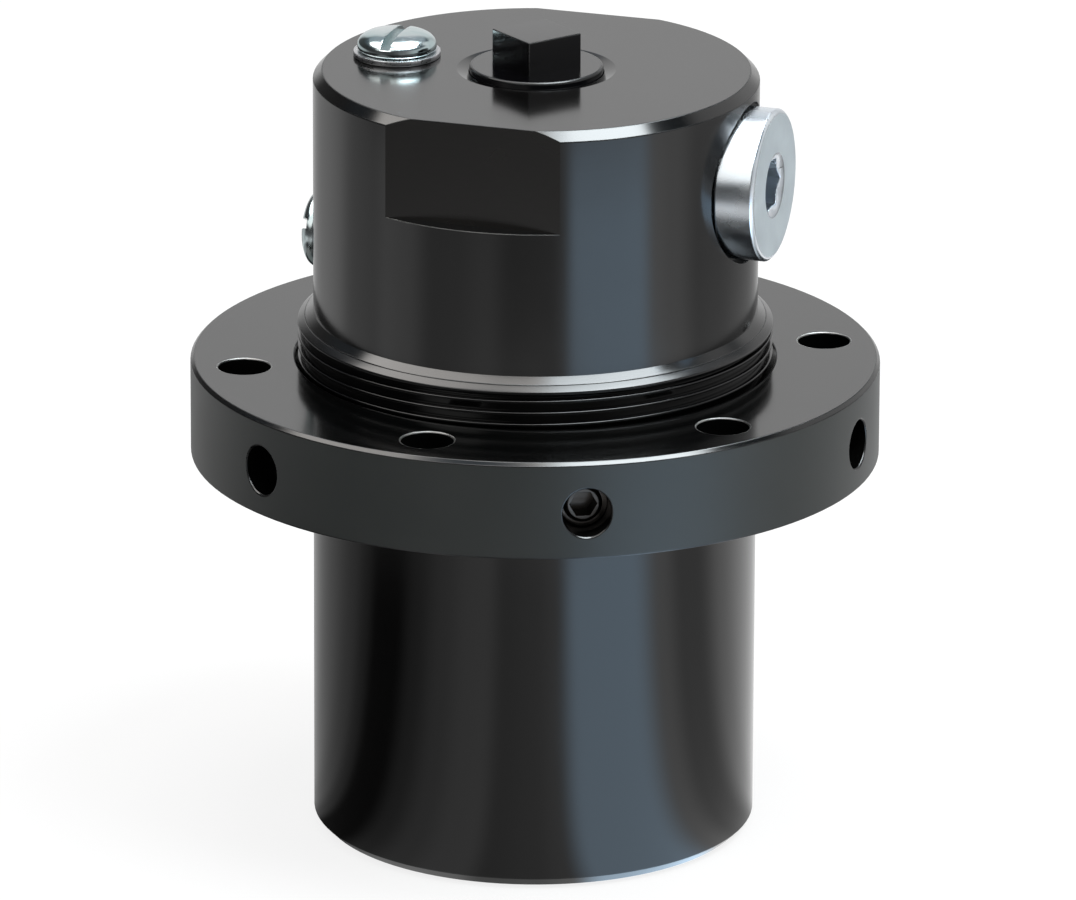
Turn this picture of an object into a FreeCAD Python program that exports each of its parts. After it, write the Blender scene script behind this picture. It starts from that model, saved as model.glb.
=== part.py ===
import FreeCAD, Part
import Sketcher
import math
import os
import types

# A hydraulically released clamping cylinder, in millimetres.
# +Z is up, along the rod. The origin is the centre of the body's lower end face.
# +X points at the oil port, and the two wrench flats face +Y and -Y.
# Disc springs under the piston pull the tie rod up; oil above it pushes it down.

# Driving sizes. A "drop" is measured down from the top face of the body.
SIZES = {
    # cylinder body
    "bore_diameter": 42.0,
    "barrel_wall": 7.0,
    "body_height": 99.0,
    "top_chamfer": 1.15,
    "bottom_chamfer": 1.2,
    "flats_depth": 2.4,
    "flats_length": 13.0,
    "head_thickness": 29.0,
    # thread that carries the flange ring; its ridges are not modelled
    "thread_step": 2.0,
    "thread_pitch": 1.5,
    "thread_drop": 32.85,
    "thread_length": 19.65,
    "shoulder_height": 1.45,
    # flange ring
    "flange_width": 13.5,
    "flange_thickness": 12.5,
    "flange_inset": 4.65,
    "flange_edge": 0.45,
    "flange_low_edge": 0.15,
    "flange_mouth": 1.3,
    "bolt_margin": 6.5,
    "bolt_hole": 6.6,
    "bolt_edge": 0.12,
    "bolt_turn": 26.8,
    "spanner_play": 0.1,
    "spanner_depth": 8.0,
    "spanner_edge": 0.2,
    "spanner_fall": 0.35,
    "spanner_turn": 56.4,
    "hole_edge": 0.4,
    # lock screw and pad in one of the radial holes of the flange ring
    "lock_thread": 6.0,
    "lock_length": 8.0,
    "lock_socket": 3.0,
    "lock_socket_depth": 2.5,
    "lock_pad_length": 2.5,
    # tie rod
    "rod_guide": 16.8,
    "rod_shank": 20.0,
    "rod_collar_height": 5.0,
    "rod_rise": 0.6,
    "rod_recess": 0.3,
    "rod_edge": 0.2,
    "rod_thread": 10.2,
    "rod_thread_depth": 24.0,
    "square_width": 8.0,
    "square_height": 4.3,
    "square_turn": 53.2,
    "rod_mouth_width": 1.55,
    "rod_mouth_depth": 0.35,
    # piston and its rings
    "piston_rim": 6.0,
    "piston_foot": 2.6,
    "piston_gap": 0.3,
    "seal_groove_width": 4.2,
    "seal_groove_depth": 3.8,
    "seal_slide_height": 1.9,
    "guide_groove_width": 4.0,
    "guide_groove_depth": 1.6,
    "ring_land": 2.2,
    "inner_groove_width": 2.8,
    "inner_groove_depth": 2.3,
    "clip_wall": 2.5,
    "clip_thickness": 1.2,
    "clip_groove_depth": 0.6,
    "clip_pocket_depth": 2.0,
    # disc spring stack
    "washer_thickness": 1.5,
    "washer_play": 0.5,
    "spring_play": 1.0,
    "spring_bore_play": 0.2,
    "spring_thickness": 2.25,
    "spring_height": 3.0,
    # bottom cover with its bush and wiper
    "cover_step": 2.0,
    "cover_height": 9.0,
    "cover_recess": 0.5,
    "cover_hole": 5.0,
    "cover_hole_depth": 5.0,
    "bush_wall": 1.5,
    "wiper_height": 3.0,
    "wiper_wall": 2.6,
    # rings in the head around the rod
    "head_wiper_drop": 2.6,
    "head_wiper_height": 3.0,
    "head_wiper_wall": 2.4,
    "head_seal_height": 5.0,
    "head_seal_wall": 4.0,
    "backup_height": 1.4,
    "head_guide_rise": 1.6,
    "head_guide_height": 3.0,
    "head_guide_wall": 1.5,
    "head_land": 1.4,
    # oil port and its plug
    "port_thread": 13.16,
    "port_drop": 12.2,
    "port_sink": 1.9,
    "port_face_play": 0.55,
    "port_depth": 12.0,
    "port_drilling": 4.0,
    "drilling_inset": 2.6,
    "plug_collar_step": 3.02,
    "plug_collar_height": 5.2,
    "plug_edge": 0.5,
    "plug_end_gap": 1.0,
    "plug_socket": 6.0,
    "plug_socket_depth": 6.5,
    "plug_ring_wall": 1.6,
    "plug_ring_height": 1.2,
    # bleed screws
    "bleed_thread": 5.0,
    "bleed_length": 8.0,
    "bleed_head": 10.0,
    "bleed_head_height": 2.4,
    "bleed_head_crown": 1.2,
    "bleed_tip": 0.7,
    "bleed_slot": 1.3,
    "bleed_slot_depth": 1.2,
    "bleed_ring_height": 0.7,
    "bleed_ring_rim": 0.5,
    "bleed_drilling": 3.0,
    "side_bleed_rise": 5.3,
    "side_bleed_sink": 1.0,
    # fits
    "running_gap": 0.05,
    "seat_gap": 0.05,
    "seal_gap": 0.02,
    "root_gap": 0.1,
}

ISO_THREAD_DEPTH = 0.6134
HEX_CORNER = 1.0 / math.sqrt(3.0)
HOLE_COUNT = 6
DRILL_POINT = 0.6
OVERRUN = 1.0


class Size:
    """A number together with the formula that the document keeps for it."""

    def __init__(self, value, formula):
        self.value = value
        self.formula = formula

    def join(self, sign, other, value):
        return Size(value, "(%s %s %s)" % (self.formula, sign, other.formula))

    def __add__(self, other):
        other = as_size(other)
        return self.join("+", other, self.value + other.value)

    def __sub__(self, other):
        other = as_size(other)
        return self.join("-", other, self.value - other.value)

    def __mul__(self, other):
        other = as_size(other)
        return self.join("*", other, self.value * other.value)

    def __truediv__(self, other):
        other = as_size(other)
        return self.join("/", other, self.value / other.value)

    def __neg__(self):
        return Size(-self.value, "(0 - %s)" % self.formula)


def as_size(number):
    if isinstance(number, Size):
        return number
    return Size(float(number), "%.9g" % number)


def cosine(angle):
    return Size(math.cos(math.radians(angle.value)), "cos(%s * 1deg)" % angle.formula)


def sine(angle):
    return Size(math.sin(math.radians(angle.value)), "sin(%s * 1deg)" % angle.formula)


def fill_sheet(document):
    """Write the driving sizes into the sheet and return them by name."""
    sheet = document.addObject("Spreadsheet::Sheet", "Sizes")
    named = types.SimpleNamespace()
    for row, (name, value) in enumerate(SIZES.items(), start=1):
        sheet.set("A%d" % row, name)
        sheet.set("B%d" % row, str(value))
        sheet.setAlias("B%d" % row, name)
        setattr(named, name, Size(value, "Sizes." + name))
    document.recompute()
    return named


def new_body(label):
    body = document.addObject("PartDesign::Body", label)
    body.Label = label
    return body


def origin_plane(body, role):
    for feature in body.Origin.OriginFeatures:
        if feature.Role == role:
            return feature
    raise ValueError("no plane " + role)


def add_sketch(body, name, role, lift=None, turn=None):
    """A sketch on an origin plane, raised along Z by lift and turned about Z."""
    sketch = body.newObject("Sketcher::SketchObject", name)
    sketch.AttachmentSupport = (origin_plane(body, role), [""])
    sketch.MapMode = "FlatFace"
    upward = "z" if role == "XY_Plane" else "y"
    if turn is not None:
        axis = FreeCAD.Vector(0, 0, 1) if upward == "z" else FreeCAD.Vector(0, 1, 0)
        rotation = FreeCAD.Rotation(axis, turn.value)
        sketch.AttachmentOffset = FreeCAD.Placement(FreeCAD.Vector(), rotation)
        sketch.setExpression("AttachmentOffset.Rotation.Angle", turn.formula)
    if lift is not None:
        sketch.setExpression("AttachmentOffset.Base." + upward, as_size(lift).formula)
    return sketch


def hold_point(constraints, formulas, line, end, across, along):
    """Fix one end of a line at a place given by two sizes."""
    for kind, axis, size in (("DistanceX", -2, across), ("DistanceY", -1, along)):
        if abs(size.value) < 1e-9:
            constraints.append(Sketcher.Constraint("PointOnObject", line, end, axis))
            continue
        formulas.append((len(constraints), size.formula))
        constraints.append(Sketcher.Constraint(kind, line, end, size.value))


def draw_outline(sketch, corners, first=0):
    """Draw a closed outline of straight lines through the corners."""
    corners = [(as_size(across), as_size(along)) for across, along in corners]
    points = [FreeCAD.Vector(across.value, along.value, 0) for across, along in corners]
    count = len(points)
    lines = [Part.LineSegment(points[i], points[(i + 1) % count]) for i in range(count)]
    sketch.addGeometry(lines, False)
    constraints = []
    formulas = []
    for i in range(count):
        following = first + (i + 1) % count
        constraints.append(Sketcher.Constraint("Coincident", first + i, 2, following, 1))
    for i, (across, along) in enumerate(corners):
        hold_point(constraints, formulas, first + i, 1, across, along)
    offset = sketch.ConstraintCount
    sketch.addConstraint(constraints)
    for index, formula in formulas:
        sketch.setExpression("Constraints[%d]" % (offset + index), formula)


def draw_circle(sketch, across, along, radius):
    """Draw a circle with its centre and radius given by sizes."""
    across, along, radius = as_size(across), as_size(along), as_size(radius)
    centre = FreeCAD.Vector(across.value, along.value, 0)
    circle = sketch.addGeometry(Part.Circle(centre, FreeCAD.Vector(0, 0, 1), radius.value), False)
    constraints = []
    formulas = []
    hold_point(constraints, formulas, circle, 3, across, along)
    formulas.append((len(constraints), radius.formula))
    constraints.append(Sketcher.Constraint("Radius", circle, radius.value))
    offset = sketch.ConstraintCount
    sketch.addConstraint(constraints)
    for index, formula in formulas:
        sketch.setExpression("Constraints[%d]" % (offset + index), formula)


def draw_axis(sketch, across):
    """Draw an upright construction line to turn a hole about."""
    across = as_size(across)
    foot = FreeCAD.Vector(across.value, 0, 0)
    line = sketch.addGeometry(Part.LineSegment(foot, foot + FreeCAD.Vector(0, 1, 0)), True)
    sketch.addConstraint([
        Sketcher.Constraint("Vertical", line),
        Sketcher.Constraint("PointOnObject", line, 1, -1),
        Sketcher.Constraint("DistanceY", line, 2, 1.0),
        Sketcher.Constraint("DistanceX", line, 1, across.value)])
    sketch.setExpression("Constraints[3]", across.formula)


def spin(body, sketch, kind, name, axis="V_Axis"):
    feature = body.newObject("PartDesign::" + kind, name)
    feature.Profile = sketch
    feature.ReferenceAxis = (sketch, [axis])
    feature.Angle = 360
    return feature


def turned(label, corners):
    """A turned piece: the outline is given as radius and height."""
    body = new_body(label)
    sketch = add_sketch(body, label + "_outline", "XZ_Plane")
    draw_outline(sketch, corners)
    spin(body, sketch, "Revolution", label + "_turning")
    return body


def bore_radially(body, name, corners, lift, turn=None):
    """A hole about a level axis: corners are distance from the Z axis and radius."""
    sketch = add_sketch(body, name + "_outline", "XZ_Plane", lift, turn)
    draw_outline(sketch, corners)
    return spin(body, sketch, "Groove", name, "H_Axis")


def bore_upright(body, name, across, corners, turn=None):
    """A hole about an upright axis: corners are distance from the Z axis and height."""
    sketch = add_sketch(body, name + "_outline", "XZ_Plane", None, turn)
    draw_axis(sketch, across)
    draw_outline(sketch, corners, first=1)
    return spin(body, sketch, "Groove", name, "Axis0")


def repeat(body, feature, name, count):
    """Repeat a feature evenly round the Z axis."""
    pattern = body.newObject("PartDesign::PolarPattern", name)
    pattern.Originals = [feature]
    pattern.Axis = (origin_plane(body, "Z_Axis"), [""])
    pattern.Angle = 360
    pattern.Occurrences = count
    body.Tip = pattern
    return pattern


def cut_pocket(body, sketch, name, depth, upward=False):
    pocket = body.newObject("PartDesign::Pocket", name)
    pocket.Profile = sketch
    pocket.Type = "Length"
    pocket.Length = as_size(depth).value
    pocket.setExpression("Length", as_size(depth).formula)
    pocket.Reversed = upward
    return pocket


def rectangle(left, right, low, high):
    return [(left, low), (right, low), (right, high), (left, high)]


def hexagon(width):
    corner = width * HEX_CORNER
    half = width / 2
    return [(corner, 0), (corner / 2, half), (-corner / 2, half),
            (-corner, 0), (-corner / 2, -half), (corner / 2, -half)]


def ring_outline(inner, outer, low, high):
    return [(inner, low), (outer, low), (outer, high), (inner, high)]


def place(body, x, y, z, rotation):
    """Put a piece that was made upright at the origin where it belongs."""
    body.Placement = FreeCAD.Placement(FreeCAD.Vector(), rotation)
    for letter, size in (("x", x), ("y", y), ("z", z)):
        body.setExpression("Placement.Base." + letter, as_size(size).formula)


def shared_places(s):
    """Heights and radii that more than one piece is built to."""
    p = types.SimpleNamespace()
    p.bore_radius = s.bore_diameter / 2
    p.body_radius = p.bore_radius + s.barrel_wall
    p.thread_radius = p.body_radius + s.thread_step
    p.rim = p.thread_radius + s.flange_width
    p.bolt_circle = p.rim - s.bolt_margin
    p.spanner_radius = s.lock_thread / 2 + s.spanner_play
    p.root_radius = p.thread_radius - s.thread_pitch * ISO_THREAD_DEPTH
    p.thread_top = s.body_height - s.thread_drop
    p.flange_top = p.thread_top - s.flange_inset
    p.flange_floor = p.flange_top - s.flange_thickness
    p.spanner_height = p.flange_floor + s.flange_thickness / 2 - s.spanner_fall
    p.flange_bore = p.root_radius + s.root_gap
    p.chamber_top = s.body_height - s.head_thickness
    p.piston_top = p.chamber_top - s.piston_gap
    p.collar_radius = p.bore_radius - s.piston_rim
    p.collar_floor = p.piston_top - s.rod_collar_height
    p.cover_top = s.cover_recess + s.cover_height
    p.rod_guide_radius = s.rod_guide / 2
    p.head_bore = p.rod_guide_radius + s.running_gap
    p.shank_radius = s.rod_shank / 2
    p.shank_bore = p.shank_radius + s.running_gap
    p.clip_radius = p.shank_radius + s.clip_wall
    p.spring_inner = p.shank_radius + s.spring_bore_play
    p.mouth_radius = p.head_bore + s.rod_mouth_width
    p.cover_radius = p.bore_radius + s.cover_step
    p.bush_radius = p.shank_bore + s.bush_wall
    p.wiper_radius = p.shank_bore + s.wiper_wall
    p.wiper_top = s.cover_recess + s.wiper_height
    p.piston_radius = p.bore_radius - s.running_gap
    p.seal_radius = p.bore_radius - s.seal_gap
    p.guide_top = p.piston_top - s.ring_land
    p.guide_floor = p.guide_top - s.guide_groove_width
    p.seal_top = p.guide_floor - s.ring_land
    p.seal_floor = p.seal_top - s.seal_groove_width
    p.piston_floor = p.seal_floor - s.piston_foot
    p.clip_top = p.piston_floor + s.clip_pocket_depth - s.seat_gap
    p.seal_groove = p.bore_radius - s.seal_groove_depth
    p.guide_groove = p.bore_radius - s.guide_groove_depth
    p.inner_groove = p.shank_bore + s.inner_groove_depth
    p.inner_floor = p.seal_floor + s.seal_groove_width / 2 - s.inner_groove_width / 2
    p.inner_top = p.inner_floor + s.inner_groove_width
    p.port_height = s.body_height - s.port_drop
    p.port_radius = s.port_thread / 2
    p.port_seat = p.body_radius - s.port_sink
    p.plug_collar = p.port_radius + s.plug_collar_step
    p.port_face = p.plug_collar + s.port_face_play
    p.drilling_place = p.bore_radius - s.drilling_inset
    p.bleed_hole = s.bleed_thread / 2 + s.running_gap
    p.side_bleed_seat = p.body_radius - s.side_bleed_sink
    p.side_bleed_height = p.chamber_top + s.side_bleed_rise
    p.wiper_high = s.body_height - s.head_wiper_drop
    p.wiper_low = p.wiper_high - s.head_wiper_height
    p.guide_low = p.chamber_top + s.head_guide_rise
    p.guide_high = p.guide_low + s.head_guide_height
    p.seal_low = p.guide_high + s.head_land
    p.seal_high = p.seal_low + s.head_seal_height
    p.lock_turn = s.spanner_turn - 120
    p.lock_tip = p.flange_bore + s.lock_pad_length
    return p


def head_groove(wall, high, low):
    """Corners of a groove in the rod bore, from its upper edge to its lower one."""
    return [(p.head_bore, high), (p.head_bore + wall, high),
            (p.head_bore + wall, low), (p.head_bore, low)]


def body_outline():
    """Half section of the cylinder body: outside going up, inside coming down."""
    slope = s.shoulder_height / (p.thread_radius - p.body_radius)
    root_top = p.thread_top + slope * (p.thread_radius - p.root_radius)
    thread_floor = p.thread_top - s.thread_length
    step = p.root_radius - p.body_radius
    corners = [(p.cover_radius + s.hole_edge, 0),
               (p.body_radius - s.bottom_chamfer, 0),
               (p.body_radius, s.bottom_chamfer),
               (p.body_radius, thread_floor - step),
               (p.root_radius, thread_floor),
               (p.root_radius, root_top),
               (p.body_radius, p.thread_top + s.shoulder_height),
               (p.body_radius, s.body_height - s.top_chamfer),
               (p.body_radius - s.top_chamfer, s.body_height),
               (p.mouth_radius, s.body_height),
               (p.head_bore, s.body_height - s.rod_mouth_depth)]
    corners += head_groove(s.head_wiper_wall, p.wiper_high, p.wiper_low)
    corners += head_groove(s.head_seal_wall, p.seal_high, p.seal_low)
    corners += head_groove(s.head_guide_wall, p.guide_high, p.guide_low)
    corners += [(p.head_bore, p.chamber_top),
                (p.bore_radius, p.chamber_top),
                (p.bore_radius, p.cover_top),
                (p.cover_radius, p.cover_top),
                (p.cover_radius, s.hole_edge)]
    return corners


def cut_flats(body):
    """Two wrench flats, from their ledges up through the top face."""
    reach = p.body_radius + OVERRUN
    half = p.body_radius - s.flats_depth
    sketch = add_sketch(body, "flats_outline", "XY_Plane", s.body_height - s.flats_length)
    draw_outline(sketch, rectangle(-reach, reach, half, reach))
    draw_outline(sketch, rectangle(-reach, reach, -reach, -half), first=4)
    return cut_pocket(body, sketch, "flats", s.flats_length + OVERRUN, upward=True)


def cut_port(body):
    """The tapped oil port in its spot face, and the drilling down to the piston."""
    outside = p.thread_radius + OVERRUN
    floor = p.port_seat - s.port_depth
    point = p.port_radius * DRILL_POINT
    bore_radially(body, "port", [
        (floor - point, 0), (floor, p.port_radius),
        (p.port_seat - s.hole_edge, p.port_radius),
        (p.port_seat, p.port_radius + s.hole_edge),
        (p.port_seat, p.port_face), (outside, p.port_face), (outside, 0)],
        p.port_height)
    sketch = add_sketch(body, "port_drilling_outline", "XY_Plane", p.chamber_top)
    draw_circle(sketch, p.drilling_place, 0, s.port_drilling / 2)
    cut_pocket(body, sketch, "port_drilling", p.port_height - p.chamber_top, upward=True)


def cut_bleed_holes(body):
    """Two tapped bleed holes that meet one drilling from the pressure space."""
    tapped = s.bleed_length + OVERRUN
    narrow = s.bleed_drilling / 2
    sketch = add_sketch(body, "top_bleed_outline", "XY_Plane", s.body_height)
    draw_circle(sketch, -p.drilling_place, 0, p.bleed_hole)
    cut_pocket(body, sketch, "top_bleed_hole", tapped)
    sketch = add_sketch(body, "bleed_drilling_outline", "XY_Plane", s.body_height)
    draw_circle(sketch, -p.drilling_place, 0, narrow)
    cut_pocket(body, sketch, "bleed_drilling", s.head_thickness)
    outside = p.thread_radius + OVERRUN
    face = s.bleed_head / 2 + s.bleed_ring_rim + s.hole_edge
    end = p.side_bleed_seat - tapped
    bore_radially(body, "side_bleed_hole", [
        (-outside, 0), (-outside, face), (-p.side_bleed_seat, face),
        (-p.side_bleed_seat, p.bleed_hole), (-end, p.bleed_hole), (-end, narrow),
        (-(p.drilling_place - narrow), narrow), (-(p.drilling_place - narrow), 0)],
        p.side_bleed_height)


def make_cylinder_body():
    body = turned("cylinder_body", body_outline())
    cut_flats(body)
    cut_port(body)
    cut_bleed_holes(body)
    return body


def make_flange_ring():
    """The ring nut with bolt holes through it and spanner holes round its rim."""
    rim = p.rim
    edge = s.flange_edge
    mouth = p.flange_bore + s.flange_mouth
    low, high = p.flange_floor, p.flange_top
    body = turned("flange_ring", [
        (p.flange_bore, low + edge), (p.flange_bore + edge, low),
        (rim - s.flange_low_edge, low), (rim, low + s.flange_low_edge), (rim, high - edge),
        (rim - edge, high), (mouth, high), (p.flange_bore, high - s.flange_mouth)])
    circle = p.bolt_circle
    wide = circle + s.bolt_hole / 2 + s.bolt_edge
    bolt = bore_upright(body, "bolt_hole", circle, [
        (circle, low), (wide, low), (wide - s.bolt_edge, low + s.bolt_edge),
        (wide - s.bolt_edge, high - s.bolt_edge), (wide, high), (circle, high)],
        s.bolt_turn)
    repeat(body, bolt, "bolt_holes", HOLE_COUNT)
    hole = p.spanner_radius
    floor = rim - s.spanner_depth
    spanner = bore_radially(body, "spanner_hole", [
        (floor - hole * DRILL_POINT, 0), (floor, hole), (rim - s.spanner_edge, hole),
        (rim + s.spanner_edge, hole + s.spanner_edge * 2), (rim + s.spanner_edge, 0)],
        p.spanner_height, s.spanner_turn)
    repeat(body, spanner, "spanner_holes", HOLE_COUNT)
    lock = s.lock_thread / 2 + s.running_gap
    bore_radially(body, "lock_hole", [
        (p.flange_bore - OVERRUN, 0), (p.flange_bore - OVERRUN, lock), (floor, lock), (floor, 0)],
        p.spanner_height, p.lock_turn)
    body.Tip = body.Group[-1]
    return body


def place_radially(body, distance, turn, height):
    rotation = FreeCAD.Rotation(FreeCAD.Vector(0, 0, 1), turn.value)
    rotation = rotation.multiply(FreeCAD.Rotation(FreeCAD.Vector(0, 1, 0), 90))
    place(body, distance * cosine(turn), distance * sine(turn), height, rotation)


def make_lock_screw():
    """A set screw with a hexagon socket; its point bears on the pad."""
    radius = s.lock_thread / 2
    edge = s.hole_edge
    body = turned("flange_lock_screw", [
        (0, 0), (radius - edge * 2, 0), (radius, edge * 2),
        (radius, s.lock_length - edge), (radius - edge, s.lock_length), (0, s.lock_length)])
    sketch = add_sketch(body, "lock_socket_outline", "XY_Plane", s.lock_length)
    draw_outline(sketch, hexagon(s.lock_socket))
    cut_pocket(body, sketch, "lock_socket", s.lock_socket_depth)
    place_radially(body, p.lock_tip + s.seat_gap, p.lock_turn, p.spanner_height)
    return body


def make_lock_pad():
    """A soft pad that is pressed on the thread without marking it."""
    radius = s.lock_thread / 2
    edge = s.hole_edge
    length = s.lock_pad_length - s.root_gap
    body = turned("flange_lock_pad", [
        (0, 0), (radius - edge, 0), (radius, edge), (radius, length), (0, length)])
    place_radially(body, p.flange_bore + s.root_gap, p.lock_turn, p.spanner_height)
    return body


def make_tie_rod():
    """Square, guide, collar and shank in one piece, tapped at its lower end."""
    edge = s.rod_edge
    top = s.body_height + s.rod_rise
    collar = p.collar_radius
    clip_low = p.clip_top - s.clip_thickness - s.seat_gap
    clip_high = p.clip_top + s.seat_gap
    clip_groove = p.shank_radius - s.clip_groove_depth
    body = turned("tie_rod", [
        (0, s.rod_recess), (p.shank_radius - edge * 2, s.rod_recess),
        (p.shank_radius, s.rod_recess + edge * 2), (p.shank_radius, clip_low),
        (clip_groove, clip_low), (clip_groove, clip_high), (p.shank_radius, clip_high),
        (p.shank_radius, p.collar_floor + s.seat_gap), (collar, p.collar_floor + s.seat_gap),
        (collar, p.piston_top - edge), (collar - edge, p.piston_top),
        (p.rod_guide_radius, p.piston_top), (p.rod_guide_radius, top - edge),
        (p.rod_guide_radius - edge, top), (0, top)])
    sketch = add_sketch(body, "square_outline", "XY_Plane", top, s.square_turn)
    half = s.square_width / 2
    draw_outline(sketch, rectangle(-half, half, -half, half))
    square = body.newObject("PartDesign::Pad", "square")
    square.Profile = sketch
    square.setExpression("Length", s.square_height.formula)
    tapped = s.rod_thread / 2
    depth = s.rod_recess + s.rod_thread_depth
    sketch = add_sketch(body, "rod_thread_outline", "XZ_Plane")
    draw_outline(sketch, [
        (0, s.rod_recess), (tapped + edge, s.rod_recess), (tapped, s.rod_recess + edge),
        (tapped, depth), (0, depth + tapped * DRILL_POINT)])
    spin(body, sketch, "Groove", "rod_thread")
    return body


def make_piston():
    """The piston, with outer grooves for seal and guide and an inner O-ring groove."""
    seat = p.collar_radius + s.running_gap
    clip_pocket = p.clip_radius + s.hole_edge
    ceiling = p.piston_floor + s.clip_pocket_depth
    edge = s.hole_edge
    return turned("piston", [
        (clip_pocket, p.piston_floor), (p.piston_radius - edge, p.piston_floor),
        (p.piston_radius, p.piston_floor + edge),
        (p.piston_radius, p.seal_floor), (p.seal_groove, p.seal_floor),
        (p.seal_groove, p.seal_top), (p.piston_radius, p.seal_top),
        (p.piston_radius, p.guide_floor), (p.guide_groove, p.guide_floor),
        (p.guide_groove, p.guide_top), (p.piston_radius, p.guide_top),
        (p.piston_radius, p.piston_top - edge), (p.piston_radius - edge, p.piston_top),
        (seat, p.piston_top), (seat, p.collar_floor), (p.shank_bore, p.collar_floor),
        (p.shank_bore, p.inner_top), (p.inner_groove, p.inner_top),
        (p.inner_groove, p.inner_floor), (p.shank_bore, p.inner_floor),
        (p.shank_bore, ceiling), (clip_pocket, ceiling)])


def make_o_ring(label, inner, outer, height):
    """A round ring that fills a groove from inner to outer radius."""
    ring = document.addObject("Part::Torus", label)
    ring.Label = label
    middle = (inner + outer) / 2
    section = (outer - inner) / 2 - s.seal_gap
    ring.setExpression("Radius1", middle.formula)
    ring.setExpression("Radius2", section.formula)
    ring.setExpression("Placement.Base.z", height.formula)
    return ring


def make_piston_rings():
    """Slide ring over its O-ring, guide band, inner O-ring and the clip on the rod."""
    gap = s.seal_gap
    slide = p.seal_radius - s.seal_slide_height
    seal_middle = (p.seal_floor + p.seal_top) / 2
    inner_middle = (p.inner_floor + p.inner_top) / 2
    clip_inner = p.shank_radius - s.clip_groove_depth + gap
    return [
        turned("piston_slide_ring", ring_outline(
            slide, p.seal_radius, p.seal_floor + gap, p.seal_top - gap)),
        make_o_ring("piston_energiser", p.seal_groove, slide, seal_middle),
        turned("piston_guide_ring", ring_outline(
            p.guide_groove + gap, p.seal_radius, p.guide_floor + gap, p.guide_top - gap)),
        make_o_ring("piston_inner_o_ring", p.shank_bore, p.inner_groove, inner_middle),
        make_clip(clip_inner)]


def make_clip(inner):
    """The retaining ring under the piston, cut open on one side."""
    low = p.clip_top - s.clip_thickness
    outer = p.clip_radius
    body = turned("rod_retaining_ring", ring_outline(inner, outer, low, p.clip_top))
    sketch = add_sketch(body, "clip_gap_outline", "XY_Plane", p.clip_top)
    half = s.clip_thickness
    draw_outline(sketch, rectangle(inner - OVERRUN, outer + OVERRUN, -half, half))
    cut_pocket(body, sketch, "clip_gap", s.clip_thickness)
    return body


def spring_space():
    """Room between the piston's washer and the cover, whole springs and what is left."""
    room = p.piston_floor - s.washer_thickness - p.cover_top - s.washer_thickness
    count = int(math.floor(room.value / s.spring_height.value + 0.01))
    return count, s.washer_thickness + (room - s.spring_height * count)


def make_washers(lower_thickness):
    """Hardened washers above and below the springs; the lower one takes up the rest."""
    inner = p.spring_inner
    outer = p.bore_radius - s.washer_play
    upper_floor = p.piston_floor - s.washer_thickness
    return [
        turned("upper_spring_washer", ring_outline(inner, outer, upper_floor, p.piston_floor)),
        turned("lower_spring_washer", ring_outline(
            inner, outer, p.cover_top, p.cover_top + lower_thickness))]


def make_disc_springs(count, floor):
    """Single disc springs stacked in turn, wide side down and wide side up."""
    inner = p.spring_inner
    outer = p.bore_radius - s.spring_play
    rise = s.spring_height - s.spring_thickness - s.seal_gap
    springs = []
    for i in range(count):
        low = floor + s.spring_height * i
        inner_low = low + rise if i % 2 == 0 else low
        outer_low = low if i % 2 == 0 else low + rise
        springs.append(turned("disc_spring_%d" % (i + 1), [
            (inner, inner_low), (outer, outer_low),
            (outer, outer_low + s.spring_thickness), (inner, inner_low + s.spring_thickness)]))
    stack = document.addObject("Part::Compound", "disc_springs")
    stack.Label = "disc_springs"
    stack.Links = springs
    return stack


def make_bottom_cover():
    """The screwed cover: bush bore, wiper seat and two blind spanner holes."""
    outer = p.cover_radius - s.running_gap
    edge = s.hole_edge
    low = s.cover_recess
    body = turned("bottom_cover", [
        (p.wiper_radius, low), (outer - edge, low), (outer, low + edge),
        (outer, p.cover_top - edge), (outer - edge, p.cover_top),
        (p.bush_radius, p.cover_top), (p.bush_radius, p.wiper_top),
        (p.wiper_radius, p.wiper_top)])
    sketch = add_sketch(body, "cover_hole_outline", "XY_Plane", low)
    draw_circle(sketch, (p.wiper_radius + p.cover_radius) / 2, 0, s.cover_hole / 2)
    hole = cut_pocket(body, sketch, "cover_hole", s.cover_hole_depth, upward=True)
    repeat(body, hole, "cover_holes", 2)
    return body


def lip_radius(bore):
    """A lip or guide band stands a little inside the bore that the rod runs in."""
    return bore - s.running_gap + s.seal_gap


def lipped_ring(label, inner, outer, low, high, lip_down):
    """A wiper or rod seal: a ring with one face hollowed so that a lip bears on the rod."""
    gap = s.seal_gap
    wall = (outer - inner) / 3
    hollow = (high - low) / 2
    lip = lip_radius(inner)
    if lip_down:
        corners = [(lip, low + gap), (inner + wall, low + gap), (inner + wall, low + hollow),
                   (outer - wall, low + hollow), (outer - wall, low + gap), (outer - gap, low + gap),
                   (outer - gap, high - gap), (lip, high - gap)]
    else:
        corners = [(lip, low + gap), (outer - gap, low + gap), (outer - gap, high - gap),
                   (outer - wall, high - gap), (outer - wall, high - hollow),
                   (inner + wall, high - hollow), (inner + wall, high - gap), (lip, high - gap)]
    return turned(label, corners)


def make_cover_rings():
    """The plain bush and the wiper that the shank runs in."""
    gap = s.seal_gap
    return [
        turned("rod_bush", ring_outline(
            p.shank_bore, p.bush_radius - gap, p.wiper_top + gap, p.cover_top)),
        lipped_ring("lower_wiper", p.shank_bore, p.wiper_radius, s.cover_recess, p.wiper_top, True)]


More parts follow.
